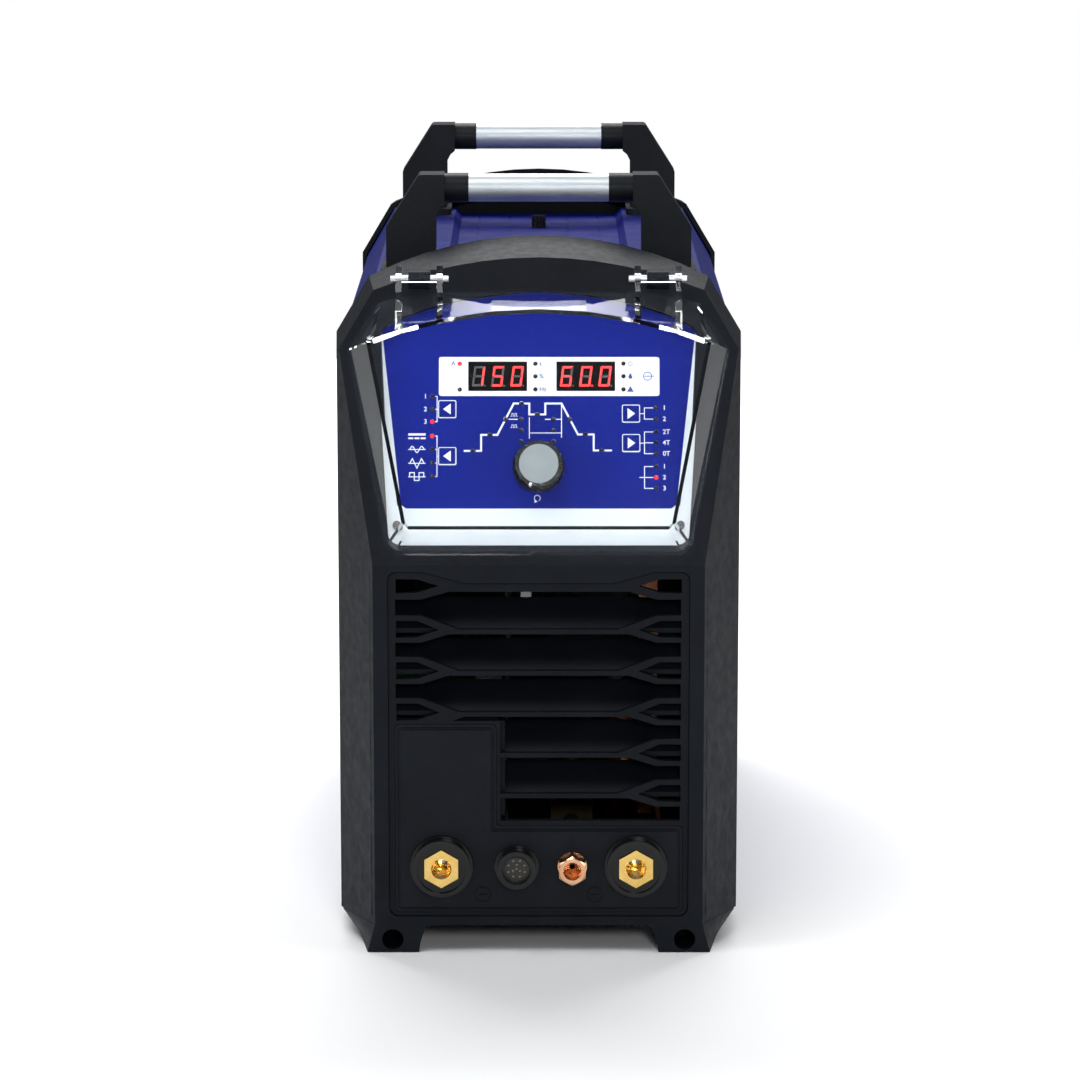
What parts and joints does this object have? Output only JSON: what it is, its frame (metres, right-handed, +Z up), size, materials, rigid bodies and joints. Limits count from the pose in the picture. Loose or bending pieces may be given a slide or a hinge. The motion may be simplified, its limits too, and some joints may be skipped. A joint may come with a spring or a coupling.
{
  "type": "tig welding machine",
  "caption": "Upright inverter TIG welder: tapered bezel with louvres, current, control and gas connectors, keys and knob under a clear hinged cover, grips on top.",
  "frame": {"origin": "centre of the bounding box at floor level", "axes": "+X to the operator's right seen from the front, +Y from the front panel to the back, +Z up"},
  "size_m": [0.264, 0.6392, 0.4886],
  "materials": {
    "bezel_black": "textured",
    "guard_steel": "satin black",
    "chassis_black": "powder coat",
    "zinc_steel": "zinc plated",
    "case_blue": "gloss paint",
    "grip_aluminium": "satin anodised",
    "black_steel": "black oxide",
    "knob_black": "satin",
    "clear_plastic": "clear",
    "panel_blue": "printed film",
    "display_red": "display window",
    "lamp": "diffused lamp",
    "board_green": "solder mask",
    "button_grey": "moulded",
    "knob_grey": "satin",
    "brass": "machined",
    "insert_dark": "moulded",
    "seal_rubber": "matte",
    "switch_red": "moulded",
    "heatsink_aluminium": "extruded",
    "capacitor_black": "sleeved",
    "ferrite": "sintered",
    "copper": "copper",
    "hose_rubber": "matte"
  },
  "bodies": {
    "root": {"arc_start_coil": "copper", "base_pan": "chassis_black", "bulk_capacitors": "capacitor_black", "cable_gland": "knob_black", "cable_gland_seal": "seal_rubber", "case_screws": "black_steel", "circuit_boards": "board_green", "connector_plate": "bezel_black", "control_board": "board_green", "cooler_socket": "zinc_steel", "copper_busbars": "copper", "digit_displays": "display_red", "encoder_body": "zinc_steel", "fan_frame": "knob_black", "fan_guard": "guard_steel", "feet": "bezel_black", "fitting_nuts": "brass", "front_bezel": "bezel_black", "fuse_holder": "knob_black", "gas_hoses": "hose_rubber", "gas_inlet": "brass", "gas_outlet": "brass", "gas_valve": "brass", "grip_tubes": "grip_aluminium", "handle_legs": "bezel_black", "handle_rods": "zinc_steel", "heatsinks": "heatsink_aluminium", "hinge_pins": "zinc_steel", "indicator_leds": "lamp", "inner_brackets": "zinc_steel", "left_side_cover": "case_blue", "output_choke": "copper", "panel_film": "panel_blue", "panel_plate": "chassis_black", "power_modules": "insert_dark", "power_switch_body": "knob_black", "rear_bezel": "bezel_black", "rear_plate": "chassis_black", "right_side_cover": "case_blue", "socket_collars": "knob_black", "socket_contacts": "brass", "socket_inserts": "insert_dark", "socket_pins": "zinc_steel", "top_cover": "case_blue", "torch_socket_shell": "knob_black", "transformer_core": "ferrite", "transformer_winding": "copper", "tray_thumbscrew": "knob_black", "vent_grille": "bezel_black"},
    "cover": {"clear_cover": "clear_plastic"},
    "knob_push": {"encoder_plunger": "knob_black"},
    "knob": {"encoder_shaft": "zinc_steel", "encoder_knob": "knob_black", "knob_cap": "knob_grey"},
    "process_key": {"process_button": "button_grey"},
    "waveform_key": {"waveform_button": "button_grey"},
    "gas_test_key": {"gas_test_button": "button_grey"},
    "trigger_mode_key": {"trigger_mode_button": "button_grey"},
    "fan": {"fan_rotor": "knob_black"},
    "power_knob": {"power_switch_knob": "switch_red"}
  },
  "joints": [
    {"name": "cover_hinge", "type": "hinge", "parent": "root", "child": "cover", "pos_m": [0, -0.25747, 0.43156], "axis": [-1, 0, 0], "range_deg": [0, 110]},
    {"name": "knob_press", "type": "slide", "parent": "root", "child": "knob_push", "axis": [0, 0.9537, -0.3007], "range_m": [0, 0.001], "stiffness_N_per_m": 800, "springref_m": -0.002},
    {"name": "knob_turn", "type": "hinge", "parent": "knob_push", "child": "knob", "pos_m": [0, -0.28461, 0.31555], "axis": [0, -0.9537, 0.3007], "continuous": true},
    {"name": "fan_spin", "type": "hinge", "parent": "root", "child": "fan", "pos_m": [0, 0.27024, 0.236], "axis": [0, 1, 0], "continuous": true},
    {"name": "power_switch_turn", "type": "hinge", "parent": "root", "child": "power_knob", "pos_m": [-0.058, 0.29824, 0.352], "axis": [0, 1, 0], "range_deg": [0, 90]},
    {"name": "process_press", "type": "slide", "parent": "root", "child": "process_key", "axis": [0, 0.9537, -0.3007], "range_m": [0, 0.0004], "stiffness_N_per_m": 1500, "springref_m": -0.0005},
    {"name": "waveform_press", "type": "slide", "parent": "root", "child": "waveform_key", "axis": [0, 0.9537, -0.3007], "range_m": [0, 0.0004], "stiffness_N_per_m": 1500, "springref_m": -0.0005},
    {"name": "gas_test_press", "type": "slide", "parent": "root", "child": "gas_test_key", "axis": [0, 0.9537, -0.3007], "range_m": [0, 0.0004], "stiffness_N_per_m": 1500, "springref_m": -0.0005},
    {"name": "trigger_mode_press", "type": "slide", "parent": "root", "child": "trigger_mode_key", "axis": [0, 0.9537, -0.3007], "range_m": [0, 0.0004], "stiffness_N_per_m": 1500, "springref_m": -0.0005}
  ]
}
